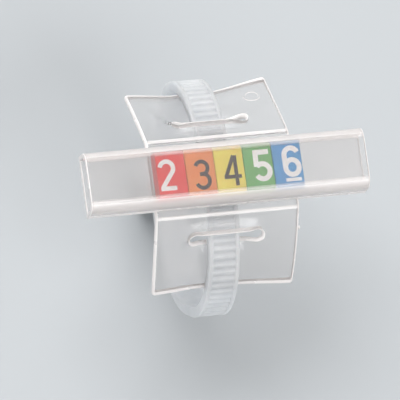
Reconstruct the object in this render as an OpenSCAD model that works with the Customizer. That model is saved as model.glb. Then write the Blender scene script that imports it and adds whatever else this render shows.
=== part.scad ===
// Cable marker: a clear carrier tied round a cable, with five coloured digit chips in its tube
// Millimetres, +Z up. The cable runs along X through the origin and the tube faces +Z.

/* [Cable] */
// Diameter of the cable that the tie is closed on
cable_d = 23.4; // [20:0.2:28]

/* [Tie] */
// Width of the strap
tie_w = 3.6; // [3:0.1:4.4]
// Thickness of the strap over its two rails
tie_t = 1.2; // [1:0.05:1.5]
// Width of each smooth rail beside the teeth
rail_w = 0.5; // [0.35:0.05:0.7]
// Depth of the teeth below the rails
tooth_depth = 0.3; // [0.15:0.05:0.45]
// Number of teeth that a full turn would hold
tooth_count = 88; // [70:1:110]
// Width of the head across the strap
head_w = 5.8; // [5.4:0.1:7]
// Length of the head along the strap
head_l = 5.4; // [5:0.1:6.5]
// Height of the head outwards from the cable
head_h = 4.7; // [4.3:0.1:6]
// Length of tail that sticks out of the head after cutting
tail_stub = 1.3; // [0.5:0.1:4]
// How far round from straight behind the tube the head sits
head_turn = 23; // [0:1:40]

/* [Saddle] */
// Width of the saddle sheet along the cable
saddle_w = 16.8; // [14:0.2:20]
// Length of the saddle sheet round the cable, on its outer face
saddle_l = 30; // [28:0.2:32]
// Thickness of the saddle sheet
saddle_t = 0.8; // [0.6:0.05:1]
// Radius of the sheet's corners
corner_r = 0.4; // [0.3:0.1:2]
// How far one corner of the sheet springs out beyond the other three
corner_spring = 0.8; // [0:0.1:1]
// Distance between the centre lines of the two strap slots, on the outer face
slot_pitch = 15.5; // [15:0.1:16.4]
// Length of each strap slot along the cable
slot_l = 8.4; // [7.4:0.2:10]
// Width of each strap slot
slot_w = 1.6; // [1.4:0.05:2]
// How far the saddle sits along the cable from the middle of the strap
saddle_shift = 0.3; // [-0.6:0.1:0.6]

/* [Tube] */
// Length of the tube
tube_l = 32.4; // [28:0.2:40]
// Height of the tube's flat back
tube_h = 7.2; // [6.6:0.1:7.8]
// Depth of the tube from its back to its window
tube_d = 3.3; // [2.9:0.1:4]
// Wall of the tube
tube_wall = 0.55; // [0.4:0.05:0.7]
// Radius of the rounded shoulders beside the window
shoulder_r = 1.4; // [1.1:0.1:1.6]

/* [Chips] */
// Spacing of the chips along the tube
chip_pitch = 3.38; // [3.1:0.01:3.7]
// Gap left between neighbouring chips
chip_gap = 0.05; // [0.02:0.01:0.15]
// Thickness of a chip's face and of the four walls behind it
chip_t = 0.7; // [0.5:0.05:0.9]
// How far the row of chips sits along the tube from the tube's middle
chips_at = 0.25; // [-4:0.05:4]

/* [Fits] */
// Play between a chip and the tube's inner wall
chip_fit = 0.08; // [0.04:0.01:0.15]
// Play between the strap and the flaps that it presses down
strap_fit = 0.05; // [0.03:0.01:0.1]
// Play between the strap's tail and the slot through the head
tail_fit = 0.1; // [0.06:0.01:0.2]

/* [Hidden] */
R = cable_d / 2;
// The strap's inner face is the cable's circle, two wider bulges over the flaps and tangents between them
bulge_at = 56;
bulge_q = 0.83 * R;
bulge_d = R + saddle_t + strap_fit + 0.38 - bulge_q;
bulge_lim = acos((R - bulge_q) / bulge_d);
// The saddle is flat under the tube, turns down at two sharp bend lines and then runs on almost straight
flat_y = tube_h / 2 + 0.5;
z_in = R + tie_t + 0.25;
z_out = z_in + saddle_t;
bend_ro = saddle_t + 0.2;
bend_deg = 40;
flap_ro = 4.3 * R;
// Share of the sheet's width that is lost at the ends of the flaps, where the strap folds them
draw_in = 0.02;
s_bend = flat_y + bend_ro * bend_deg * PI / 180;
s_end = saddle_l / 2;
s_slot = slot_pitch / 2;
tube_back = z_out - 0.3;
// The head and tail are drawn straight behind the tube and then turned about the cable by head_turn
// The tail turns outwards about tail_c and goes straight through the head
tail_bend = 0.8;
tail_at = -172;
tail_c = polar(R + tie_t + tail_bend, tail_at);
tail_end = -(R + head_h + tail_stub);
half = tie_w / 2;

function polar(r, a) = [r * sin(a), r * cos(a)];
function turned(p) =
    [p[0] * cos(head_turn) - p[1] * sin(head_turn), p[0] * sin(head_turn) + p[1] * cos(head_turn)];
function ease(u) = u <= 0 ? 0 : u >= 1 ? 1 : u * u * (3 - 2 * u);

// Radius of the strap's face that lies off above its inner face, at an angle a from the tube's middle
function bulge_zone(off) =
    atan2((bulge_q + off) * sin(bulge_lim), bulge_d + (bulge_q + off) * cos(bulge_lim));
function strap_r(a, off) =
    let (o = abs(abs(a) - bulge_at))
    o <= bulge_zone(off) ? bulge_d * cos(o) + sqrt(pow(bulge_q + off, 2) - pow(bulge_d * sin(o), 2))
    : o <= bulge_lim ? (R + off) / cos(bulge_lim - o)
    : R + off;

// Outer face of the undented saddle at a distance s from its middle: y, z and the angle it has turned
function base(s) =
    s <= flat_y ? [s, z_out, 0]
    : s <= s_bend ? let (a = (s - flat_y) / bend_ro * 180 / PI)
        [flat_y + bend_ro * sin(a), z_out - bend_ro * (1 - cos(a)), a]
    : let (a = bend_deg + (s - s_bend) / flap_ro * 180 / PI)
        [flat_y + bend_ro * sin(bend_deg) + flap_ro * (sin(a) - sin(bend_deg)),
         z_out - bend_ro * (1 - cos(bend_deg)) - flap_ro * (cos(bend_deg) - cos(a)), a];

// A point moved inwards along the sheet's normal, and the way from it to a face of the strap
function inwards(p, turn, d) = [p[0] - d * sin(turn), p[1] - d * cos(turn)];
function to_strap(p, turn, off) =
    let (th = atan2(p[0], p[1]))
    (norm(p) - strap_r(th, off)) / cos(turn - th);

// How far the strap presses the sheet in beyond a slot, and lifts it before the slot, each found in two steps
function press(s) =
    let (b = base(s))
    let (p = [b[0], b[1]])
    let (d = to_strap(p, b[2], 0) + strap_fit)
    max(0, d + to_strap(inwards(p, b[2], d), b[2], 0) + strap_fit);
function lift(s) =
    let (b = base(s))
    let (p = inwards([b[0], b[1]], b[2], saddle_t))
    let (d = strap_fit - to_strap(p, b[2], tie_t))
    max(0, d + strap_fit - to_strap(inwards(p, b[2], -d), b[2], tie_t));

// Share of that at x: whole at the strap and none from hi outwards
function spread(x, hi) =
    let (lo = half + 0.15 + 2 * abs(saddle_shift))
    let (u = max(0, min(1, (abs(x) - lo) / (hi - lo))))
    0.6 * (1 - u) + 0.4 * (1 - ease(u));

// How far the sheet goes in at x and s: out over the strap up to the slot, then in by a widening valley
function dent(x, s) =
    let (beyond = ease((s - s_slot) / slot_w + 0.5))
    let (at_slot = slot_l / 2 + 0.3)
    let (at_end = saddle_w / 2 * (1 - draw_in))
    let (hi = at_slot + (at_end - at_slot) * max(0, s - s_slot) / (s_end - s_slot))
    beyond * press(s) * spread(x, hi) - (1 - beyond) * lift(s) * spread(x, at_slot);

// How far the one springy corner stands out at x and signed s
function spring(x, s) =
    s <= s_slot || x <= half ? 0
    : corner_spring * pow((s - s_slot) / (s_end - s_slot), 2) * (x - half) / (saddle_w / 2 - half);

// Share of the thickness left at a distance d from an edge, for rounded edges
function edge_share(d) =
    let (r = saddle_t / 2)
    d >= r ? 1 : max(0.3, sqrt(r * r - pow(r - d, 2)) / r);
function corner_in(d) = d >= corner_r ? 0 : corner_r - sqrt(corner_r * corner_r - pow(corner_r - d, 2));

// Point of the saddle at column x and signed row s, on its outer face (side 1) or inner face (side -1)
function sheet_point(x, s, side) =
    let (to_end = s_end - abs(s))
    let (share = min(edge_share(saddle_w / 2 - abs(x)), edge_share(to_end)))
    let (drawn = draw_in * pow(max(0, abs(s) - s_slot) / (s_end - s_slot), 2))
    let (xx = x * (1 - corner_in(to_end) / (saddle_w / 2)) * (1 - drawn) + saddle_shift)
    let (b = base(abs(s)))
    let (down = dent(xx, abs(s)) - spring(xx, s) + saddle_t / 2 * (1 - side * share))
    let (p = inwards([b[0], b[1]], b[2], down))
    [xx, sign(s) * p[0], p[1]];

// One strap slot's outline, with round ends
module slot_outline() {
    er = slot_w / 2;
    ex = slot_l / 2 - er;
    polygon(concat(
        [for (a = [-90:15:90]) [ex + er * cos(a), er * sin(a)]],
        [for (a = [90:15:270]) [-ex + er * cos(a), er * sin(a)]]
    ));
}

// Flexible sheet with rounded edges, pressed in where the strap crosses its flaps
module saddle_sheet() {
    xs = half + 0.15 + abs(saddle_shift);
    xm = slot_l / 2;
    xe = saddle_w / 2;
    xr = xe - saddle_t / 2;
    hx = [xs * 0.5, xs, xs + (xm - xs) * 0.33, xs + (xm - xs) * 0.67, xm, xm + (xr - xm) * 0.25,
        xm + (xr - xm) * 0.5, xm + (xr - xm) * 0.75, xr, xe - saddle_t * 0.2, xe - saddle_t * 0.06, xe];
    n = len(hx);
    cols = concat([for (k = [n - 1:-1:0]) -hx[k]], [0], hx);
    s0 = s_slot - slot_w / 2;
    s1 = s_slot + slot_w / 2;
    s2 = s_end - corner_r;
    hs = concat(
        [for (k = [0:3]) flat_y + (s_bend - flat_y) * k / 3],
        [for (k = [1:4]) s_bend + (s0 - s_bend) * k / 5],
        [for (k = [0:5]) s0 + (s1 - s0) * k / 5],
        [for (k = [1:6]) s1 + (s2 - s1) * k / 6],
        [s_end - corner_r * 0.5, s_end - corner_r * 0.22, s_end - corner_r * 0.06, s_end]
    );
    m = len(hs);
    rows = concat([for (k = [m - 1:-1:0]) -hs[k]], hs);
    nc = len(cols);
    nr = len(rows);
    off = nr * nc;
    points = concat(
        [for (s = rows) for (x = cols) sheet_point(x, s, 1)],
        [for (s = rows) for (x = cols) sheet_point(x, s, -1)]
    );
    last = (nr - 1) * nc;
    faces = concat(
        [for (i = [0:nr - 2]) for (j = [0:nc - 2]) let (a = i * nc + j) [a, a + nc, a + nc + 1]],
        [for (i = [0:nr - 2]) for (j = [0:nc - 2]) let (a = i * nc + j) [a, a + nc + 1, a + 1]],
        [for (i = [0:nr - 2]) for (j = [0:nc - 2]) let (a = off + i * nc + j) [a, a + nc + 1, a + nc]],
        [for (i = [0:nr - 2]) for (j = [0:nc - 2]) let (a = off + i * nc + j) [a, a + 1, a + nc + 1]],
        [for (i = [0:nr - 2]) let (a = i * nc) [a, a + off, a + nc]],
        [for (i = [0:nr - 2]) let (a = i * nc) [a + nc, a + off, a + nc + off]],
        [for (i = [0:nr - 2]) let (a = i * nc + nc - 1) [a, a + nc, a + off]],
        [for (i = [0:nr - 2]) let (a = i * nc + nc - 1) [a + nc, a + nc + off, a + off]],
        [for (j = [0:nc - 2]) [j, j + 1, j + off]],
        [for (j = [0:nc - 2]) [j + 1, j + 1 + off, j + off]],
        [for (j = [last:last + nc - 2]) [j, j + off, j + 1]],
        [for (j = [last:last + nc - 2]) [j + 1, j + off, j + 1 + off]]
    );
    mid = base(s_slot);
    difference() {
        polyhedron(points = points, faces = faces);
        for (side = [0, 1])
            mirror([0, side, 0])
                translate([saddle_shift, mid[0], mid[1]])
                    rotate([-mid[2], 0, 0])
                        linear_extrude(height = 8, center = true)
                            slot_outline();
    }
}

// Section of the tube, shrunk evenly by inset: flat back with sharp edges, rounded shoulders, flat window
module tube_section(inset) {
    w = tube_h / 2 - inset;
    r = shoulder_r - inset;
    cy = tube_d - shoulder_r;
    cx = tube_h / 2 - 0.15 - shoulder_r;
    polygon(concat(
        [[-w, inset], [w, inset]],
        [for (a = [0:10:90]) [cx + r * cos(a), cy + r * sin(a)]],
        [for (a = [90:10:180]) [-cx + r * cos(a), cy + r * sin(a)]]
    ));
}

// Runs a section drawn in Y and Z along X, centred on x
module along_x(length, x = 0) {
    translate([x - length / 2, 0, 0])
        rotate([90, 0, 90])
            linear_extrude(height = length)
                children();
}

// Clear carrier, moulded as one: the sheet with its two slots and the open-ended tube across it
module carrier() {
    color([0.93, 0.95, 0.95, 0.5])
        difference() {
            union() {
                saddle_sheet();
                translate([0, 0, tube_back])
                    along_x(tube_l, saddle_shift)
                        tube_section(0);
            }
            translate([0, 0, tube_back])
                along_x(tube_l + 2, saddle_shift)
                    tube_section(tube_wall);
        }
}

// One chip: a cap with rounded shoulders, cored out from the back, that slides along the tube
module chip(k) {
    inset = tube_wall + chip_fit;
    core_h = tube_h - 2 * (inset + chip_t);
    core_d = tube_d - inset - chip_t;
    chip_w = chip_pitch - chip_gap;
    at = saddle_shift + chips_at + (k - 2) * chip_pitch;
    translate([0, 0, tube_back])
        difference() {
            along_x(chip_w, at)
                tube_section(inset);
            along_x(chip_w - 2 * chip_t, at)
                translate([-core_h / 2, 0])
                    square([core_h, core_d]);
        }
}

module chip_2() { color([0.84, 0.19, 0.19]) chip(0); }
module chip_3() { color([0.9, 0.5, 0.2]) chip(1); }
module chip_4() { color([0.95, 0.78, 0.2]) chip(2); }
module chip_5() { color([0.3, 0.6, 0.3]) chip(3); }
module chip_6() { color([0.2, 0.5, 0.76]) chip(4); }

// The strap's angles from its root inside the head, over the tube and round to the bend of the tail
path_step = 3;
path_first = 178.5 - head_turn;
path_last = tail_at - head_turn;
path_n = round((path_first - path_last) / path_step);
path_angles = [for (k = [0:path_n]) path_first + (path_last - path_first) * k / path_n];

// Outline of a band of the strap between two heights above its inner face, with its bend and tail
function tail_side(r, down) =
    let (pts = [for (t = [78:-13:0]) turned([tail_c[0] + r * cos(t), tail_c[1] + r * sin(t)])])
    let (tip = turned([tail_c[0] + r, tail_end]))
    down ? concat(pts, [tip]) : concat([tip], [for (k = [len(pts) - 1:-1:0]) pts[k]]);
function inner_face(a, lo) =
    lo > 0 ? strap_r(a, lo)
    : strap_r(a, 0) > R + 0.01 ? strap_r(a, 0)
    : R - 0.3;

module band(outer_points, lo, hi) {
    n = len(path_angles);
    polygon(concat(
        outer_points,
        tail_side(tail_bend + tie_t - hi, true),
        tail_side(tail_bend + tie_t - lo, false),
        [for (k = [n - 3:-1:0]) polar(inner_face(path_angles[k], lo), path_angles[k])]
    ));
}

// Ratchet teeth from near the root to the bend of the tail
tooth_deg = 360 / tooth_count;
tooth_from = 150 - head_turn;
tooth_n = floor((tooth_from - path_last - 2) / tooth_deg);
valley_off = tie_t - tooth_depth;
tip_off = tie_t - tooth_depth * 0.12;
tooth_shape = [[0.0, valley_off], [0.34, valley_off], [0.56, tip_off], [0.9, tip_off]];
toothed_path = concat(
    [for (k = [0:9]) let (a = path_first - k * 2.9) polar(strap_r(a, valley_off), a)],
    [for (k = [0:tooth_n - 1])
        for (p = tooth_shape)
            let (a = tooth_from - (k + p[0]) * tooth_deg)
            polar(strap_r(a, p[1]), a)],
    [polar(strap_r(path_last, valley_off), path_last)]
);
smooth_path = [for (a = path_angles) polar(strap_r(a, tie_t), a)];

// Tie, moulded as one: toothed strap between two rails, and the head that its tail goes through
module cable_tie() {
    rail_low = tie_t - tooth_depth - 0.35;
    slot_lo = tail_c[0] + tail_bend - tail_fit;
    slot_hi = tail_c[0] + tail_bend + tie_t + tail_fit;
    head_y0 = slot_hi + 1.9 - head_l;
    head_y1 = slot_hi + 1.9;
    roof = -(R + tie_t + tail_fit);
    floor_z = -(R + head_h);
    color([0.93, 0.95, 0.96])
        union() {
            along_x(tie_w)
                difference() {
                    band(toothed_path, 0, valley_off);
                    circle(r = R, $fn = 180);
                }
            for (side = [-1, 1])
                along_x(rail_w, side * (half - rail_w / 2))
                    band(smooth_path, rail_low, tie_t);
            rotate([head_turn, 0, 0]) difference() {
                along_x(head_w)
                    polygon([
                        [head_y0, -R - 0.9], [head_y0 + 0.7, -R - 0.15], [head_y1 - 0.5, -R - 0.02],
                        [head_y1, -R - 0.5], [head_y1, floor_z + 0.4], [head_y1 - 0.4, floor_z],
                        [head_y0 + 0.4, floor_z], [head_y0, floor_z + 0.4]
                    ]);
                along_x(tie_w + 2 * tail_fit)
                    polygon(concat(
                        [[head_y0 - 2, -R + 1], [head_y0 - 2, roof - 0.35], [tail_c[0] - 0.5, roof]],
                        [for (t = [90:-15:0])
                            tail_c + (tail_bend - tail_fit) * [cos(t), sin(t)]],
                        [[slot_lo, floor_z - 1], [slot_hi, floor_z - 1], [slot_hi, -R + 1]]
                    ));
                along_x(tie_w - 2 * rail_w + 0.3)
                    polygon([
                        [slot_lo - 1.3, floor_z - 1], [slot_lo + 0.5, floor_z - 1],
                        [slot_lo + 0.5, -R - tie_t - 1.2], [slot_lo - 0.2, -R - tie_t - 1.2],
                        [slot_lo - 1.3, floor_z + 0.8]
                    ]);
            }
            rotate([head_turn, 0, 0]) along_x(tie_w - 2 * rail_w - 0.3)
                polygon([
                    [slot_lo - 0.6, -R - tie_t - 1.1], [slot_lo - 0.05, -R - tie_t - 1.1],
                    [slot_lo + 0.12, floor_z + 1.25], [slot_lo - 0.15, floor_z + 1.0],
                    [slot_lo + 0.12, floor_z + 0.6], [slot_lo - 0.5, floor_z + 0.35]
                ]);
        }
}

carrier();
chip_2();
chip_3();
chip_4();
chip_5();
chip_6();
cable_tie();
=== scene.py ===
import math

import bmesh
import bpy
from mathutils import Matrix, Vector


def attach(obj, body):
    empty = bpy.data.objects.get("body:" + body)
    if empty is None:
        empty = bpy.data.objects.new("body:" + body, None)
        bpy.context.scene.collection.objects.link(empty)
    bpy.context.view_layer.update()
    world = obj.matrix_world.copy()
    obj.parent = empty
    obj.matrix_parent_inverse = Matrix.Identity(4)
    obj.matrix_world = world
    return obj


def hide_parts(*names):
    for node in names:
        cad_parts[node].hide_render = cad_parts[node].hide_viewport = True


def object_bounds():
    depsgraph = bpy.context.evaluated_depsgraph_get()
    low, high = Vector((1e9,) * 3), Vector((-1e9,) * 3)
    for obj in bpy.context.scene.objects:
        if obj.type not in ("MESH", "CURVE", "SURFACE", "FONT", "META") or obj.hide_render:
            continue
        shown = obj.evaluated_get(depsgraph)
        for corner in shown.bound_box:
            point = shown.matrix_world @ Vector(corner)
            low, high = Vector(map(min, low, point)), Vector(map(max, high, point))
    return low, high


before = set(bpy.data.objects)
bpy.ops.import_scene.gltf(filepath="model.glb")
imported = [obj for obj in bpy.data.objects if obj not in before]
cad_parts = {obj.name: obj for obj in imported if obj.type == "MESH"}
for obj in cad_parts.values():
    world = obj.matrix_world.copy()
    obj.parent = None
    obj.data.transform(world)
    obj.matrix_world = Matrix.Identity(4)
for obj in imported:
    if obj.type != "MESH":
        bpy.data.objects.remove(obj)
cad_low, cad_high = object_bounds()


# Clear carrier
# A soft saddle sheet with two round-ended strap slots and an open-ended tube across its middle, injection
# moulded as one in clear PVC. It leaves the mould flat, and the tie bends its flaps down and dents them.
# Sizes are in millimetres
MM = 0.001
WRAP_R = 11.7
STRAP_W = 3.6
STRAP_T = 1.2
STRAP_FIT = 0.05
SHEET_W = 16.8
SHEET_L = 30
SHEET_T = 0.8
SHEET_CORNER = 0.4
SHEET_SHIFT = 0.3
SHEET_GAP = 0.25
SHEET_TOP = WRAP_R + STRAP_T + SHEET_GAP + SHEET_T
SLOT_AT = 7.75
SLOT_L = 8.4
SLOT_W = 1.6
SLOT_PLUG_REACH = 2
SLOT_END_ROUND = 0.999
LIP_R = 0.38
RIM_W = 0.7
RING_X = 6.2
RING_S = 11.6
RING_R = 0.85
RING_T = 0.13
RING_FLAT = 0.6
GATE_S = -7.4
GATE_R = 0.24
COLUMN_W = 0.5
COLUMNS_HALF = 16
BEND_ROWS = 5
FLAP_ROWS = 32
# The bend lines beside the tube, the flaps beyond them, and how the tie draws them in
FLAT_HALF = 4.1
BEND_INNER_R = 0.2
BEND_R = SHEET_T + BEND_INNER_R
BEND_TURN = math.radians(40)
BEND_END = FLAT_HALF + BEND_R * BEND_TURN
FLAP_R = 4.3 * WRAP_R
DRAW_IN = 0.02
CORNER_SPRING = 0.8
DENT_SIDE = 0.15
DENT_PAST_SLOT = 0.3
DENT_STRAIGHT = 0.6
# Where the tie stands off beside the flaps
BULGE_AT = math.radians(56)
BULGE_R = 0.83 * WRAP_R
BULGE_SPARE = 0.38
BULGE_OUT = WRAP_R + SHEET_T + STRAP_FIT + BULGE_SPARE - BULGE_R
BULGE_SPAN = math.acos((WRAP_R - BULGE_R) / BULGE_OUT)
# The tube, sunk a little into the sheet, and how far from its middle its shoulders get paler, less clear
# PVC, first a faint and then a strong painted highlight
TUBE_L = 32.4
TUBE_H = 7.2
TUBE_D = 3.3
TUBE_WALL = 0.55
TUBE_SUNK = 0.3
TUBE_BACK = SHEET_TOP - TUBE_SUNK
TUBE_TAPER = 0.15
TUBE_EDGE_R = 0.1
SHOULDER_R = 1.4
PAINTED_HAZE_FROM = 2.2
PAINTED_MILK_FROM = 2.75
# Height of the band along the lower outer sides that gets the pale edge PVC, a painted highlight line
PAINTED_EDGE_LINE_H = 1.1
# Shares of a face's normal by which flat faces and end faces are told from the rest
FLAT_FACE = 0.97
FACES_ALONG = 0.9
# Edges sharper than this, in radians, are the sheet's moulded edges
SHEET_EDGE_ANGLE = 1.4
ROUNDED_FROM = math.radians(50)


def choose(piece):
    """Makes a piece the active one, and the only one selected."""
    bpy.ops.object.select_all(action="DESELECT")
    bpy.context.view_layer.objects.active = piece
    piece.select_set(True)


def settle(piece):
    """Puts a piece's place, turn and scale into its mesh."""
    choose(piece)
    bpy.ops.object.transform_apply(location=True, rotation=True, scale=True)


def block(name, low, high):
    """A cube primitive that fills the box from low to high, given in millimetres."""
    bpy.ops.object.select_all(action="DESELECT")
    middle = [(a + b) / 2 * MM for a, b in zip(low, high)]
    bpy.ops.mesh.primitive_cube_add(size=1, location=middle)
    piece = bpy.context.object
    piece.name = name
    piece.scale = [(b - a) * MM for a, b in zip(low, high)]
    settle(piece)
    return piece


def edit(piece):
    choose(piece)
    bpy.ops.object.mode_set(mode="EDIT")


def leave():
    bpy.ops.object.mode_set(mode="OBJECT")


def pick(kind, wanted):
    """Selects the vertices, edges or faces of the piece in edit mode that wanted() accepts."""
    bpy.ops.mesh.select_mode(type=kind)
    bpy.ops.mesh.select_all(action="DESELECT")
    mesh = bmesh.from_edit_mesh(bpy.context.object.data)
    mesh.normal_update()
    for one in {"VERT": mesh.verts, "EDGE": mesh.edges, "FACE": mesh.faces}[kind]:
        if wanted(one):
            one.select_set(True)
    bmesh.update_edit_mesh(bpy.context.object.data)


def runs_along(edge, axis):
    way = edge.verts[1].co - edge.verts[0].co
    return abs(way[axis]) > 0.99 * way.length


def slice_at(axis, places):
    """Cuts the piece in edit mode right through at each place along an axis, in millimetres."""
    for place in places:
        spot = [0, 0, 0]
        spot[axis] = place * MM
        across = [0, 0, 0]
        across[axis] = 1
        bpy.ops.mesh.select_all(action="SELECT")
        bpy.ops.mesh.bisect(plane_co=spot, plane_no=across, threshold=1e-7)


def use(piece, kind, **settings):
    """Adds a modifier to a piece and applies it."""
    choose(piece)
    modifier = piece.modifiers.new(kind.lower(), kind)
    for key, value in settings.items():
        setattr(modifier, key, value)
    bpy.ops.object.modifier_apply(modifier=modifier.name)


def round_edges(piece, radius, segments):
    """Rounds all sharp edges of a piece, by a radius in millimetres."""
    use(piece, "BEVEL", width=radius * MM, segments=segments, limit_method="ANGLE", angle_limit=ROUNDED_FROM)


def combine(piece, other, operation):
    """Joins other to a piece, or cuts it out, and takes other away."""
    use(piece, "BOOLEAN", operation=operation, object=other, solver="MANIFOLD")
    bpy.data.objects.remove(other)


def smooth(piece, degrees):
    """Shades a piece smooth up to an angle; large flat faces stay flat beside their rounded edges."""
    choose(piece)
    bpy.ops.object.shade_smooth_by_angle(angle=math.radians(degrees))
    use(piece, "WEIGHTED_NORMAL", keep_sharp=True)


def ease(u):
    """A soft step from 0 to 1."""
    u = min(1, max(0, u))
    return u * u * (3 - 2 * u)


def strap_radius(angle, height):
    """Radius of the tie's face that is height above its inner face, at an angle from the tube's middle."""
    off = abs(abs(angle) - BULGE_AT)
    reach = BULGE_R + height
    zone = math.atan2(reach * math.sin(BULGE_SPAN), BULGE_OUT + reach * math.cos(BULGE_SPAN))
    if off <= zone:
        return BULGE_OUT * math.cos(off) + math.sqrt(reach ** 2 - (BULGE_OUT * math.sin(off)) ** 2)
    if off <= BULGE_SPAN:
        return (WRAP_R + height) / math.cos(BULGE_SPAN - off)
    return WRAP_R + height


def flap_line(s):
    """Outer face of the sheet, before it is dented, at a distance s from its middle: y, z and its turn."""
    if s <= FLAT_HALF:
        return s, SHEET_TOP, 0
    if s <= BEND_END:
        turn = (s - FLAT_HALF) / BEND_R
        return FLAT_HALF + BEND_R * math.sin(turn), SHEET_TOP - BEND_R * (1 - math.cos(turn)), turn
    turn = BEND_TURN + (s - BEND_END) / FLAP_R
    y = FLAT_HALF + BEND_R * math.sin(BEND_TURN) + FLAP_R * (math.sin(turn) - math.sin(BEND_TURN))
    z = SHEET_TOP - BEND_R * (1 - math.cos(BEND_TURN)) - FLAP_R * (math.cos(BEND_TURN) - math.cos(turn))
    return y, z, turn


def inwards(spot, turn, depth):
    """A point moved in along the sheet's normal; points here are y and z."""
    return spot[0] - depth * math.sin(turn), spot[1] - depth * math.cos(turn)


def to_strap(spot, turn, height):
    """How far in from a point the tie's face lies that is height above its inner face."""
    around = math.atan2(*spot)
    return (math.hypot(*spot) - strap_radius(around, height)) / math.cos(turn - around)


def press(s):
    """How far the tie presses the sheet in beyond a slot, found in two steps."""
    y, z, turn = flap_line(s)
    first = to_strap((y, z), turn, 0) + STRAP_FIT
    return max(0, first + to_strap(inwards((y, z), turn, first), turn, 0) + STRAP_FIT)


def lift(s):
    """How far the tie lifts the sheet before a slot, found in two steps."""
    y, z, turn = flap_line(s)
    under = inwards((y, z), turn, SHEET_T)
    first = STRAP_FIT - to_strap(under, turn, STRAP_T)
    return max(0, first + STRAP_FIT - to_strap(inwards(under, turn, -first), turn, STRAP_T))


def spread(x, high):
    """Share of that at x, whole at the tie and none from high outwards."""
    low = STRAP_W / 2 + DENT_SIDE + 2 * SHEET_SHIFT
    u = max(0, min(1, (abs(x) - low) / (high - low)))
    return DENT_STRAIGHT * (1 - u) + (1 - DENT_STRAIGHT) * (1 - ease(u))


def dent(x, s):
    """How far the sheet goes in: a ridge over the tie up to the slot, then a widening valley."""
    beyond = ease((s - SLOT_AT) / SLOT_W + 0.5)
    at_slot = SLOT_L / 2 + DENT_PAST_SLOT
    at_end = SHEET_W / 2 * (1 - DRAW_IN)
    high = at_slot + (at_end - at_slot) * max(0, s - SLOT_AT) / (SHEET_L / 2 - SLOT_AT)
    return beyond * press(s) * spread(x, high) - (1 - beyond) * lift(s) * spread(x, at_slot)


def fitted(flat):
    """Where a point of the flat sheet goes when the tie has bent and dented it."""
    x, s, height = flat / MM
    out = max(0, abs(s) - SLOT_AT) / (SHEET_L / 2 - SLOT_AT)
    x = (x - SHEET_SHIFT) * (1 - DRAW_IN * out ** 2) + SHEET_SHIFT
    free = max(0, x - STRAP_W / 2) / (SHEET_W / 2 - STRAP_W / 2) if s > 0 else 0
    y, z, turn = flap_line(abs(s))
    y, z = inwards((y, z), turn, dent(x, abs(s)) - CORNER_SPRING * out ** 2 * free - height)
    return Vector((x, math.copysign(y, s), z)) * MM


def linear(code):
    """Linear colour for an sRGB hex code."""
    parts = [int(code[k:k + 2], 16) / 255 for k in (1, 3, 5)]
    return [c / 12.92 if c <= 0.04045 else ((c + 0.055) / 1.055) ** 2.4 for c in parts] + [1]


def new_material(name, **settings):
    """A material with a principled shader, and that shader's plain settings."""
    made = bpy.data.materials.new(name)
    made.use_nodes = True
    shader = made.node_tree.nodes["Principled BSDF"]
    for key, value in settings.items():
        shader.inputs[key.replace("_", " ")].default_value = value
    return made, shader


def add_node(made, kind, links, **settings):
    """Adds a node; a setting is an attribute or an input's value, and links are from and to pairs."""
    tree = made.node_tree
    node = tree.nodes.new(kind)
    for key, value in settings.items():
        if hasattr(node, key):
            setattr(node, key, value)
        else:
            node.inputs[key.replace("_", " ")].default_value = value
    for source, target in links:
        tree.links.new(
            node.outputs[source] if isinstance(source, str) else source,
            node.inputs[target] if isinstance(target, str) else target,
        )
    return node


def clear_pvc(name, clear, tint, rough, uneven):
    # Soft clear PVC out of a polished mould: see-through with a faint haze, and a slow wave in its skin
    # The wave is 5 mm long, and smears of handling about 3 mm across dull the gloss a little
    made, shader = new_material(name, Transmission_Weight=clear, IOR=1.53, Base_Color=linear(tint))
    place = add_node(made, "ShaderNodeTexCoord", [])
    wave = add_node(
        made, "ShaderNodeTexNoise", [(place.outputs["Object"], "Vector")], Scale=1 / (5 * MM), Detail=2
    )
    add_node(
        made,
        "ShaderNodeBump",
        [(wave.outputs["Fac"], "Height"), ("Normal", shader.inputs["Normal"])],
        Strength=0.15,
        Distance=0.2 * MM,
    )
    smear = add_node(
        made, "ShaderNodeTexNoise", [(place.outputs["Object"], "Vector")], Scale=1 / (3 * MM), Detail=4
    )
    add_node(
        made,
        "ShaderNodeMapRange",
        [(smear.outputs["Fac"], "Value"), ("Result", shader.inputs["Roughness"])],
        From_Min=0.35,
        From_Max=0.7,
        To_Min=rough,
        To_Max=rough + uneven,
    )
    return made


# Painted highlight: the tube's shoulders get a hazy and then a milky PVC, and the bend lines the milky one,
# in place of the light that their curves reflect; the moulded edges get a pale, slightly frosted PVC in
# place of the light they pipe from the whole sheet
pvc = clear_pvc("clear_moulded_pvc", 0.955, "#FEFCFB", 0.13, 0.08)
pvc_faint_painted_highlight = clear_pvc("clear_pvc_faint_painted_highlight", 0.8, "#FDF8F6", 0.08, 0.1)
pvc_strong_painted_highlight = clear_pvc("clear_pvc_strong_painted_highlight", 0.5, "#FDF8F6", 0.12, 0.1)
pvc_painted_edge_highlight = clear_pvc("clear_pvc_painted_edge_highlight", 0.15, "#FDF8F6", 0.25, 0.1)


def finish_pvc(piece, wants_faint_highlight, wants_strong_highlight, wants_edge_highlight):
    """Gives a piece in edit mode the clear PVC, and the paler ones of painted highlight to the faces wanted
    for them.
    """
    piece.data.materials.clear()
    finishes = ((pvc, None), (pvc_faint_painted_highlight, wants_faint_highlight), (pvc_strong_painted_highlight, wants_strong_highlight), (pvc_painted_edge_highlight, wants_edge_highlight))
    for number, (finish, wanted) in enumerate(finishes):
        piece.data.materials.append(finish)
        if wanted:
            pick("FACE", wanted)
            piece.active_material_index = number
            bpy.ops.object.material_slot_assign()


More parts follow.
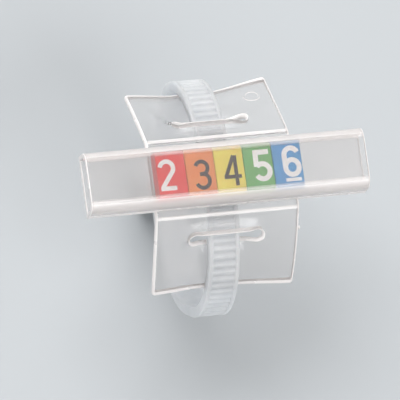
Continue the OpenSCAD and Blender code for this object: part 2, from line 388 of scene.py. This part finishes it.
sheet_left, sheet_right = SHEET_SHIFT - SHEET_W / 2, SHEET_SHIFT + SHEET_W / 2
carrier = block("carrier_clear_pvc", (sheet_left, -SHEET_L / 2, -SHEET_T), (sheet_right, SHEET_L / 2, 0))
edit(carrier)
pick("EDGE", lambda e: runs_along(e, 2))
bpy.ops.mesh.bevel(offset=SHEET_CORNER * MM, segments=6, affect="EDGES")
slice_at(1, (-SLOT_AT, SLOT_AT))
leave()
for side in (-1, 1):
    slot_plug = block(
        "slot_plug",
        (SHEET_SHIFT - SLOT_L / 2, side * SLOT_AT - SLOT_W / 2, -SLOT_PLUG_REACH),
        (SHEET_SHIFT + SLOT_L / 2, side * SLOT_AT + SLOT_W / 2, SLOT_PLUG_REACH),
    )
    edit(slot_plug)
    pick("EDGE", lambda e: runs_along(e, 2))
    bpy.ops.mesh.bevel(offset=SLOT_W / 2 * MM * SLOT_END_ROUND, segments=8, affect="EDGES")
    leave()
    combine(carrier, slot_plug, "DIFFERENCE")
edit(carrier)
bpy.ops.mesh.select_all(action="SELECT")
bpy.ops.mesh.remove_doubles(threshold=2e-6)
pick("EDGE", lambda e: len(e.link_faces) == 2 and e.calc_face_angle(0) > SHEET_EDGE_ANGLE)
bpy.ops.mesh.bevel(offset=LIP_R * MM, segments=5, affect="EDGES", clamp_overlap=False)
leave()
# A plain raised ring at one corner, and the nub that the mould's gate leaves on one side
bpy.ops.object.select_all(action="DESELECT")
bpy.ops.mesh.primitive_torus_add(
    major_segments=36,
    minor_segments=8,
    major_radius=RING_R * MM,
    minor_radius=RING_T * MM,
    location=(RING_X * MM, RING_S * MM, 0),
)
ring = bpy.context.object
ring.scale = (1, 1, RING_FLAT)
settle(ring)
combine(carrier, ring, "UNION")
bpy.ops.object.select_all(action="DESELECT")
bpy.ops.mesh.primitive_uv_sphere_add(
    segments=12,
    ring_count=8,
    radius=GATE_R * MM,
    location=(sheet_right * MM, GATE_S * MM, -SHEET_T / 2 * MM),
)
gate = bpy.context.object
settle(gate)
combine(carrier, gate, "UNION")
edit(carrier)
slice_at(0, [SHEET_SHIFT + COLUMN_W * k for k in range(-COLUMNS_HALF, COLUMNS_HALF + 1)])
bend_rows = [FLAT_HALF + (BEND_END - FLAT_HALF) * k / BEND_ROWS for k in range(BEND_ROWS + 1)]
flap_rows = [BEND_END + (SHEET_L / 2 - BEND_END) * k / FLAP_ROWS for k in range(1, FLAP_ROWS)]
slice_at(1, [side * s for side in (-1, 1) for s in bend_rows + flap_rows])
slice_at(1, (RIM_W - SHEET_L / 2, SHEET_L / 2 - RIM_W))


def on_bend(face):
    """Whether a face of the flat sheet is in the middle of a bend line."""
    return bend_rows[1] * MM < abs(face.calc_center_median().y) < bend_rows[-2] * MM


def on_sheet_rim(face):
    """Whether a face of the flat sheet is on a rounded edge, the ring, or the rim across a flap's end."""
    past_rim = abs(face.calc_center_median().y) > (SHEET_L / 2 - RIM_W) * MM
    return abs(face.normal.z) < FLAT_FACE or past_rim


# The bend lines get the milky PVC, and the rounded edges, ring and flap ends the pale edge PVC, as painted
# highlight
finish_pvc(carrier, None, on_bend, on_sheet_rim)
leave()
for vertex in carrier.data.vertices:
    vertex.co = fitted(vertex.co)
tube = block(
    "tube",
    (SHEET_SHIFT - TUBE_L / 2, -TUBE_H / 2, TUBE_BACK),
    (SHEET_SHIFT + TUBE_L / 2, TUBE_H / 2, TUBE_BACK + TUBE_D),
)
edit(tube)
pick("FACE", lambda f: f.normal.z > FACES_ALONG)
bpy.ops.transform.resize(value=(1, 1 - 2 * TUBE_TAPER / TUBE_H, 1), center_override=(0, 0, 0))
pick("EDGE", lambda e: runs_along(e, 0) and e.verts[0].co.z > (TUBE_BACK + TUBE_D / 2) * MM)
bpy.ops.mesh.bevel(offset=SHOULDER_R * MM, segments=10, affect="EDGES")
pick("FACE", lambda f: abs(f.normal.x) > FACES_ALONG)
bpy.ops.mesh.delete(type="FACE")
leave()
use(tube, "SOLIDIFY", thickness=TUBE_WALL * MM, offset=-1, use_even_offset=True)
round_edges(tube, TUBE_EDGE_R, 3)
edit(tube)
slice_at(2, (TUBE_BACK + PAINTED_EDGE_LINE_H,))


def at_rim(face):
    """Whether a face of the tube is on an end, or on the lower part of an outer side."""
    spot = face.calc_center_median() / MM
    low = spot.z < TUBE_BACK + PAINTED_EDGE_LINE_H and abs(spot.y) > TUBE_H / 2 - TUBE_WALL / 2
    return abs(face.normal.x) > 0.1 or low and face.normal.z > -FLAT_FACE


# The tube's shoulders get the hazy and milky PVC, and its ends and lower outer sides the pale edge PVC, as
# painted highlight
finish_pvc(
    tube,
    lambda f: abs(f.calc_center_median().y) > PAINTED_HAZE_FROM * MM,
    lambda f: abs(f.calc_center_median().y) > PAINTED_MILK_FROM * MM,
    at_rim,
)
leave()
combine(carrier, tube, "UNION")
smooth(carrier, 35)
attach(carrier, "root")
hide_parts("carrier")


# Digit chips
# Five caps of rigid PVC, moulded in the colours of the digit code. Each has rounded shoulders and is cored
# out from the back; they slide along the tube from its open end and stay in it by their snug fit.
CHIP_PLAY = 0.08
CHIP_INSET = TUBE_WALL + CHIP_PLAY
CHIP_T = 0.7
CHIP_PITCH = 3.38
CHIP_GAP = 0.05
CHIP_W = CHIP_PITCH - CHIP_GAP
CHIP_SHIFT = 0.25
CHIP_FIRST = SHEET_SHIFT + CHIP_SHIFT - 2 * CHIP_PITCH
CHIP_HALF = TUBE_H / 2 - CHIP_INSET
CHIP_BACK = TUBE_BACK + CHIP_INSET
CHIP_FRONT = TUBE_BACK + TUBE_D - CHIP_INSET
CHIP_EDGE_R = 0.06
CUT_PAST = 1
CHIP_COLOURS = {"2": "#FA4844", "3": "#FC9852", "4": "#FFE866", "5": "#78BC70", "6": "#58A4DE"}


def cut_out(piece, name, low, high):
    """Cuts a block out of a piece."""
    combine(piece, block(name, low, high), "DIFFERENCE")


def chip_plastic(digit):
    # Rigid PVC, moulded and satin: full even colour with a faint clouding, and a fine grain of the mould
    # The clouds are 2.5 mm across and the grain 0.2 mm
    made, shader = new_material(
        "rigid_pvc_chip_" + digit,
        Roughness=0.38,
        IOR=1.53,
        Subsurface_Weight=0.3,
        Subsurface_Scale=0.4 * MM,
    )
    place = add_node(made, "ShaderNodeTexCoord", [])
    cloud = add_node(
        made, "ShaderNodeTexNoise", [(place.outputs["Object"], "Vector")], Scale=1 / (2.5 * MM)
    )
    tone = add_node(
        made,
        "ShaderNodeValToRGB",
        [(cloud.outputs["Fac"], "Fac"), ("Color", shader.inputs["Base Color"])],
    )
    full = linear(CHIP_COLOURS[digit])
    tone.color_ramp.elements[0].position = 0.3
    tone.color_ramp.elements[0].color = [c * 0.93 for c in full[:3]] + [1]
    tone.color_ramp.elements[1].position = 0.7
    tone.color_ramp.elements[1].color = [min(1, c * 1.05) for c in full[:3]] + [1]
    grain = add_node(
        made, "ShaderNodeTexNoise", [(place.outputs["Object"], "Vector")], Scale=1 / (0.2 * MM)
    )
    add_node(
        made,
        "ShaderNodeBump",
        [(grain.outputs["Fac"], "Height"), ("Normal", shader.inputs["Normal"])],
        Strength=0.2,
        Distance=0.01 * MM,
    )
    return made


chip = block("chip_pattern", (-CHIP_W / 2, -CHIP_HALF, CHIP_BACK), (CHIP_W / 2, CHIP_HALF, CHIP_FRONT))
edit(chip)
pick("FACE", lambda f: f.normal.z > FACES_ALONG)
bpy.ops.transform.resize(value=(1, 1 - TUBE_TAPER / CHIP_HALF, 1), center_override=(0, 0, 0))
pick("EDGE", lambda e: runs_along(e, 0) and e.verts[0].co.z > (CHIP_BACK + CHIP_FRONT) / 2 * MM)
bpy.ops.mesh.bevel(offset=(SHOULDER_R - CHIP_INSET) * MM, segments=6, affect="EDGES")
leave()
core_x, core_y = CHIP_W / 2 - CHIP_T, CHIP_HALF - CHIP_T
cut_out(chip, "core", (-core_x, -core_y, CHIP_BACK - CUT_PAST), (core_x, core_y, CHIP_FRONT - CHIP_T))
round_edges(chip, CHIP_EDGE_R, 2)
smooth(chip, 35)
for number, digit in enumerate("23456"):
    choose(chip)
    bpy.ops.object.duplicate()
    one = bpy.context.object
    one.name = "chip_" + digit + "_rigid_pvc"
    bpy.ops.transform.translate(value=((CHIP_FIRST + number * CHIP_PITCH) * MM, 0, 0))
    settle(one)
    one.data.materials.clear()
    one.data.materials.append(chip_plastic(digit))
    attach(one, "root")
    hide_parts("chip_" + digit)
bpy.data.objects.remove(chip)


# Printed digits
# One plain digit stamped on each chip's face in a thin film of ink, white on red, green and blue and
# near-black on orange and yellow, a little off centre. A bar under the 6 tells it from a 9.
INK_T = 0.03
INK_GAP = 0.003
INK_W = {"2": 0.5, "3": 0.43, "4": 0.42, "5": 0.58, "6": 0.58}
BAR_W = 0.38
DIGIT_OFF = {"2": (-0.5, 0), "3": (0.18, -0.33), "4": (0.28, -0.18), "5": (0.42, 0.08), "6": (0.47, 0.27)}


def arc(centre, radii, start, stop):
    """Points of an arc from one angle to another, in degrees."""
    steps = max(2, round(abs(stop - start) / 10))
    turns = [math.radians(start + (stop - start) * k / steps) for k in range(steps + 1)]
    return [Vector((centre[0] + radii[0] * math.cos(t), centre[1] + radii[1] * math.sin(t))) for t in turns]


def line(*points):
    return [Vector(p) for p in points]


DIGIT_STROKES = {
    "2": [arc((0, 0.76), (0.77, 0.79), 168, -28) + line((-0.66, -1.4)), line((-0.9, -1.55), (0.92, -1.55))],
    "3": [
        arc((-0.04, 0.78), (0.7, 0.73), 158, -90),
        arc((-0.04, -0.7), (0.77, 0.8), 90, -158),
        line((-0.3, 0.075), (0, 0.075)),
    ],
    "4": [
        line((0.28, 1.72), (-0.78, -0.6)),
        line((-1.0, -0.7), (0.98, -0.7)),
        line((0.42, 1.72), (0.42, -1.74)),
    ],
    "5": [line((0.86, 1.55), (-0.66, 1.55), (-0.7, -0.1)), arc((-0.03, -0.66), (0.82, 0.87), 140, -150)],
    "6": [
        arc((0, -0.68), (0.78, 0.85), 0, 350),
        line((-0.78, -0.7)) + arc((0, 0.72), (0.78, 0.81), 180, 22),
    ],
}
SIX_BAR = line((-0.9, -2.1), (0.9, -2.1))


def stroke(path, width):
    """One stroke of a digit, a ring where its ends meet: a filled flat outline with the ink's thickness."""
    closed = len(path) > 2 and (path[0] - path[-1]).length < width / 2
    sides = [[], []]
    for k, spot in enumerate(path):
        before = path[k - 1] if closed or k else spot * 2 - path[1]
        after = path[(k + 1) % len(path)] if closed or k < len(path) - 1 else spot * 2 - path[k - 1]
        way = ((spot - before).normalized() + (after - spot).normalized()).normalized()
        reach = width / 2 / max(0.5, way.dot((after - spot).normalized()))
        normal = Vector((-way.y, way.x))
        sides[0].append(spot + normal * reach)
        sides[1].append(spot - normal * reach)
    outlines = sides if closed else [sides[0] + sides[1][::-1]]
    drawing = bpy.data.curves.new("stroke", "CURVE")
    drawing.dimensions = "2D"
    drawing.fill_mode = "BOTH"
    drawing.extrude = INK_T / 2
    for outline in outlines:
        spline = drawing.splines.new("POLY")
        spline.points.add(len(outline) - 1)
        spline.use_cyclic_u = True
        for point, spot in zip(spline.points, outline):
            point.co = (spot.x, spot.y, 0, 1)
    made = bpy.data.objects.new("stroke", drawing)
    bpy.context.scene.collection.objects.link(made)
    choose(made)
    bpy.ops.object.convert(target="MESH")
    made = bpy.context.object
    edit(made)
    bpy.ops.mesh.select_all(action="SELECT")
    bpy.ops.mesh.remove_doubles(threshold=1e-4)
    bpy.ops.mesh.normals_make_consistent(inside=False)
    leave()
    return made


def printed_ink(name, code, pale):
    # Stamped ink: a flat matt film that lets the plastic through a little where it is thin
    # The thin spots are about 0.5 mm across
    made, shader = new_material(name, Roughness=0.55, IOR=1.5)
    place = add_node(made, "ShaderNodeTexCoord", [])
    thin = add_node(
        made, "ShaderNodeTexNoise", [(place.outputs["Object"], "Vector")], Scale=1 / (0.5 * MM), Detail=3
    )
    tone = add_node(
        made,
        "ShaderNodeValToRGB",
        [(thin.outputs["Fac"], "Fac"), ("Color", shader.inputs["Base Color"])],
    )
    tone.color_ramp.elements[0].position = 0.35
    tone.color_ramp.elements[0].color = linear(pale)
    tone.color_ramp.elements[1].position = 0.6
    tone.color_ramp.elements[1].color = linear(code)
    return made


white_ink = printed_ink("white_stamped_ink", "#FFFFFF", "#FAF5F3")
black_ink = printed_ink("black_stamped_ink", "#302220", "#42302C")
for number, digit in enumerate("23456"):
    strokes = [stroke(path, INK_W[digit]) for path in DIGIT_STROKES[digit]]
    if digit == "6":
        strokes.append(stroke(SIX_BAR, BAR_W))
    figure = strokes[0]
    for other in strokes[1:]:
        combine(figure, other, "UNION")
    figure.name = "digit_" + digit + "_ink"
    figure.scale = (MM, MM, MM)
    figure.location = (
        (CHIP_FIRST + number * CHIP_PITCH + DIGIT_OFF[digit][0]) * MM,
        DIGIT_OFF[digit][1] * MM,
        (CHIP_FRONT + INK_T / 2 + INK_GAP) * MM,
    )
    settle(figure)
    figure.data.materials.clear()
    figure.data.materials.append(black_ink if digit in "34" else white_ink)
    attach(figure, "root")


# Cable tie
# A natural nylon tie, moulded as one: a strap with ratchet teeth between two smooth rails, and a square
# head with a spring pawl. It goes through both slots of the sheet, and its tail is pulled tight and cut off.
TEETH_AROUND = 88
TOOTH_TURN = 2 * math.pi / TEETH_AROUND
STRAP_MID = WRAP_R + STRAP_T / 2
TOOTH_L = TOOTH_TURN * STRAP_MID
TOOTH_N = 93
RAIL_W = 0.5
TEETH_HALF = STRAP_W / 2 - RAIL_W
TOOTH_FLOOR = STRAP_T - 0.3
TOOTH_TIP = STRAP_T - 0.036
# Shares of a tooth's length where its ramp starts and ends and its steep side starts
RAMP_FROM = 0.34
RAMP_TO = 0.56
STEEP_FROM = 0.9
RAIL_OUTER_R = 0.16
RAIL_INNER_R = 0.06
TOOTH_R = 0.05
STRAP_SHRINK = 0.995
HEAD_TURN = math.radians(23)
TEETH_FROM = math.radians(127)
NECK_TEETH = 7
STRAP_START = TEETH_FROM + NECK_TEETH * TOOTH_TURN
TAIL_TURN = math.radians(-172)
STRAP_LAST = TAIL_TURN - HEAD_TURN
TAIL_BEND_R = 0.8
TAIL_Y = (WRAP_R + STRAP_T + TAIL_BEND_R) * math.sin(TAIL_TURN)
TAIL_Z = (WRAP_R + STRAP_T + TAIL_BEND_R) * math.cos(TAIL_TURN)
TAIL_FROM = math.radians(82)
TAIL_OUT = 1.295
TAIL_PLAY = 0.1
HEAD_W = 5.8
HEAD_L = 5.4
HEAD_H = 4.7
HEAD_FRONT_WALL = 1.9
HEAD_SUNK = 0.05
HEAD_EDGE_R = 0.4
TAIL_END = -(WRAP_R + HEAD_H + TAIL_OUT)
PAWL_GAP_L = 1.3
PAWL_GAP_ROOF = 1.1
PAWL_SIDE = 0.15
PAWL_T = 0.6
PAWL_OFF = 0.05
PAWL_SHORT = 0.35
PAWL_ROOT = 1.0
PAWL_LEAN = 0.15
PAWL_EDGE_R = 0.08
# A hair's breadth, for telling places on the strap apart
HAIR = 0.01


def wrapped(flat):
    """Where a point of the straight strap goes when it is pulled round and through the head."""
    x, along, height = flat / MM
    height = height * STRAP_SHRINK
    angle = STRAP_START - along / STRAP_MID
    if angle >= STRAP_LAST:
        radius = strap_radius(angle, height)
        return Vector((x, radius * math.sin(angle), radius * math.cos(angle))) * MM
    over = (STRAP_LAST - angle) * STRAP_MID
    bend_mid = TAIL_BEND_R + STRAP_T / 2
    turn = max(0, TAIL_FROM - over / bend_mid)
    whole = TOOTH_N * TOOTH_L - (STRAP_START - STRAP_LAST) * STRAP_MID - TAIL_FROM * bend_mid
    straight = max(0, over - TAIL_FROM * bend_mid) * (TAIL_Z - TAIL_END) / whole
    reach = TAIL_BEND_R + STRAP_T - height
    y = TAIL_Y + reach * math.cos(turn)
    z = TAIL_Z + reach * math.sin(turn) - straight
    return Matrix.Rotation(HEAD_TURN, 3, "X") @ Vector((x, y, z)) * MM


def in_teeth(spot):
    """Whether a point of the straight strap is between the rails, or on their inner sides."""
    return abs(spot.x) < (TEETH_HALF + HAIR) * MM


def on_tooth_top(vertex):
    """Whether a vertex of the one modelled tooth is on the part that is raised."""
    at_floor = abs(vertex.co.z - TOOTH_FLOOR * MM) < 1e-6
    share = vertex.co.y / (TOOTH_L * MM)
    return at_floor and in_teeth(vertex.co) and (RAMP_FROM + RAMP_TO) / 2 < share < (STEEP_FROM + 1) / 2


def at_tooth_end(face):
    """Whether a face closes an end of the one modelled tooth."""
    off_middle = abs(face.calc_center_median().y / MM - TOOTH_L / 2)
    return abs(face.normal.y) > FACES_ALONG and off_middle > 0.49 * TOOTH_L


def on_rail(edge, x, low_too):
    """Whether an edge runs along a rail at x, at its top or, if wanted, at the strap's inner face."""
    spot = edge.verts[0].co / MM
    level = spot.z > STRAP_T - HAIR or low_too and spot.z < HAIR
    return runs_along(edge, 1) and abs(abs(spot.x) - x) < HAIR / 10 and level


def across_tooth(edge):
    """Whether an edge is a crosswise corner of a tooth."""
    return runs_along(edge, 0) and in_teeth(edge.verts[0].co) and edge.calc_face_angle(0) > 0.4


# One tooth with its rails is modelled, repeated along the strap, and flattened at the neck
tie = block("cable_tie_nylon", (-STRAP_W / 2, 0, 0), (STRAP_W / 2, TOOTH_L, TOOTH_FLOOR))
edit(tie)
slice_at(0, (-TEETH_HALF, TEETH_HALF))
slice_at(1, (RAMP_FROM * TOOTH_L, RAMP_TO * TOOTH_L, STEEP_FROM * TOOTH_L))
pick("FACE", lambda f: f.normal.z > FACES_ALONG and abs(f.calc_center_median().x) > TEETH_HALF * MM)
bpy.ops.mesh.extrude_region_move(TRANSFORM_OT_translate={"value": (0, 0, (STRAP_T - TOOTH_FLOOR) * MM)})
pick("VERT", on_tooth_top)
bpy.ops.transform.translate(value=(0, 0, (TOOTH_TIP - TOOTH_FLOOR) * MM))
pick("FACE", at_tooth_end)
bpy.ops.mesh.delete(type="FACE")
pick("EDGE", lambda e: on_rail(e, STRAP_W / 2, True))
bpy.ops.mesh.bevel(offset=RAIL_OUTER_R * MM, segments=3, affect="EDGES")
pick("EDGE", lambda e: on_rail(e, TEETH_HALF, False))
bpy.ops.mesh.bevel(offset=RAIL_INNER_R * MM, segments=2, affect="EDGES")
leave()
use(
    tie,
    "ARRAY",
    count=TOOTH_N,
    use_relative_offset=False,
    use_constant_offset=True,
    constant_offset_displace=(0, TOOTH_L * MM, 0),
    use_merge_vertices=True,
    merge_threshold=4e-6,
)
for vertex in tie.data.vertices:
    in_neck = vertex.co.y < (NECK_TEETH * TOOTH_L - HAIR) * MM
    if in_neck and abs(vertex.co.z / MM - TOOTH_TIP) < HAIR / 2:
        vertex.co.z = TOOTH_FLOOR * MM
edit(tie)
bpy.ops.mesh.select_all(action="SELECT")
bpy.ops.mesh.fill_holes(sides=0)
pick("EDGE", across_tooth)
bpy.ops.mesh.bevel(offset=TOOTH_R * MM, segments=2, affect="EDGES")
leave()
for vertex in tie.data.vertices:
    vertex.co = wrapped(vertex.co)
edit(tie)
bpy.ops.mesh.select_all(action="SELECT")
bpy.ops.mesh.normals_make_consistent(inside=False)
leave()
# The head is a block with a way in, a slot for the tail, and a gap with the pawl beside the slot
tail_low = TAIL_Y + TAIL_BEND_R - TAIL_PLAY
tail_high = TAIL_Y + TAIL_BEND_R + STRAP_T + TAIL_PLAY
tail_half = STRAP_W / 2 + TAIL_PLAY
head_low = -(WRAP_R + HEAD_H)
head_front = tail_high + HEAD_FRONT_WALL
head_back = head_front - HEAD_L
roof = -(WRAP_R + STRAP_T + TAIL_PLAY)
head = block("head", (-HEAD_W / 2, head_back, head_low), (HEAD_W / 2, head_front, -WRAP_R - HEAD_SUNK))
round_edges(head, HEAD_EDGE_R, 4)
cut_out(
    head,
    "tail_slot",
    (-tail_half, tail_low, head_low - CUT_PAST),
    (tail_half, tail_high, -WRAP_R + CUT_PAST),
)
cut_out(
    head,
    "tail_way",
    (-tail_half, head_back - 2 * CUT_PAST, roof),
    (tail_half, tail_low + TAIL_PLAY, -WRAP_R + CUT_PAST),
)
gap_half = TEETH_HALF + PAWL_SIDE
cut_out(
    head,
    "pawl_gap",
    (-gap_half, tail_low - PAWL_GAP_L, head_low - CUT_PAST),
    (gap_half, tail_low + TAIL_PLAY, roof - PAWL_GAP_ROOF),
)
pawl_half = TEETH_HALF - PAWL_SIDE
pawl = block(
    "pawl",
    (-pawl_half, tail_low - PAWL_T, head_low + PAWL_SHORT),
    (pawl_half, tail_low - PAWL_OFF, roof - PAWL_ROOT),
)
edit(pawl)
pick("FACE", lambda f: f.normal.z < -FACES_ALONG)
bpy.ops.transform.translate(value=(0, PAWL_LEAN * MM, 0))
leave()
round_edges(pawl, PAWL_EDGE_R, 2)
combine(head, pawl, "UNION")
head.rotation_euler = (HEAD_TURN, 0, 0)
settle(head)
combine(tie, head, "UNION")
smooth(tie, 40)

# Natural nylon, moulded: milky and slightly see-through, with a satin skin
# The milkiness varies over 3 mm, and the skin has a fine unevenness of 0.35 mm
nylon, nylon_shader = new_material(
    "natural_moulded_nylon", Roughness=0.5, IOR=1.53, Subsurface_Weight=1, Subsurface_Scale=6 * MM
)
nylon_shader.inputs["Subsurface Radius"].default_value = (0.9, 0.95, 1)
place = add_node(nylon, "ShaderNodeTexCoord", [])
milk = add_node(
    nylon, "ShaderNodeTexNoise", [(place.outputs["Object"], "Vector")], Scale=1 / (3 * MM), Detail=3
)
tone = add_node(
    nylon,
    "ShaderNodeValToRGB",
    [(milk.outputs["Fac"], "Fac"), ("Color", nylon_shader.inputs["Base Color"])],
)
tone.color_ramp.elements[0].position = 0.3
tone.color_ramp.elements[0].color = linear("#BCBFC3")
tone.color_ramp.elements[1].position = 0.7
tone.color_ramp.elements[1].color = linear("#CBCDD0")
skin = add_node(
    nylon, "ShaderNodeTexNoise", [(place.outputs["Object"], "Vector")], Scale=1 / (0.35 * MM), Detail=2
)
add_node(
    nylon,
    "ShaderNodeBump",
    [(skin.outputs["Fac"], "Height"), ("Normal", nylon_shader.inputs["Normal"])],
    Strength=0.25,
    Distance=0.02 * MM,
)
tie.data.materials.clear()
tie.data.materials.append(nylon)
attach(tie, "root")
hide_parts("cable_tie")


# Setting
# A plain pale floor just under the marker, three large soft lamps and even light from all round, and the
# camera of the photograph. Lamps and floor are placed in metres.
FLOOR_SIZE = 6
FLOOR_BELOW = 0.0002
ROUND_LIGHT = 0.55
LIGHT_BOUNCES = 32
bpy.ops.object.select_all(action="DESELECT")
bpy.ops.mesh.primitive_plane_add(size=FLOOR_SIZE, location=(0, 0, cad_low.z - FLOOR_BELOW))
floor = bpy.context.object
floor.name = "floor"
floor_paint, floor_shader = new_material("pale_floor", Base_Color=linear("#B8BCBF"), Roughness=0.7)
floor.data.materials.append(floor_paint)

world = bpy.data.worlds.new("studio")
bpy.context.scene.world = world
world.use_nodes = True
world.node_tree.nodes["Background"].inputs["Color"].default_value = (1, 1, 1, 1)
world.node_tree.nodes["Background"].inputs["Strength"].default_value = ROUND_LIGHT


def lamp(name, spot, size, watts):
    """A square soft lamp, aimed at the marker."""
    bpy.ops.object.light_add(type="AREA", location=spot)
    made = bpy.context.object
    made.name = name
    made.data.size = size
    made.data.energy = watts
    made.rotation_euler = (-Vector(spot)).to_track_quat("-Z", "Y").to_euler()


lamp("key", (-0.25, 0.3, 0.75), 0.4, 3.6)
lamp("fill", (0.25, -0.5, 0.65), 0.5, 2.8)
lamp("top", (0, 0.6, 0.45), 0.5, 1.8)
# Light runs along the clear walls by many inner reflections before it leaves them
bpy.context.scene.cycles.max_bounces = LIGHT_BOUNCES
bpy.context.scene.cycles.glossy_bounces = LIGHT_BOUNCES
bpy.context.scene.cycles.transmission_bounces = LIGHT_BOUNCES

# The camera looks from the left and from below the tube's middle, and is rolled a little
TURN = math.radians(13.9)
TIP = math.radians(11.3)
ROLL = math.radians(5.35)
FRAME_W = 45.05
FRAME_RIGHT = 0.7545
FRAME_UP = 0.18
CAMERA_AWAY = 1000
SIGHT_DEPTH = 13
SENSOR_W = 36
across = Vector((math.cos(TURN), -math.sin(TURN) * math.sin(TIP), math.sin(TURN) * math.cos(TIP)))
upward = Vector((0, math.cos(TIP), math.sin(TIP)))
view_right = across * math.cos(ROLL) - upward * math.sin(ROLL)
view_up = across * math.sin(ROLL) + upward * math.cos(ROLL)
view_back = view_right.cross(view_up)
centre = view_right * FRAME_RIGHT + view_up * FRAME_UP
bpy.ops.object.camera_add()
camera = bpy.context.object
camera.data.sensor_width = SENSOR_W
camera.data.lens = SENSOR_W * (CAMERA_AWAY - SIGHT_DEPTH) / FRAME_W
axes = Matrix((view_right, view_up, view_back)).transposed().to_4x4()
camera.matrix_world = Matrix.Translation((centre + view_back * CAMERA_AWAY) * MM) @ axes
camera.data.clip_end = 20
bpy.context.scene.camera = camera
bpy.context.scene.view_settings.view_transform = "Standard"
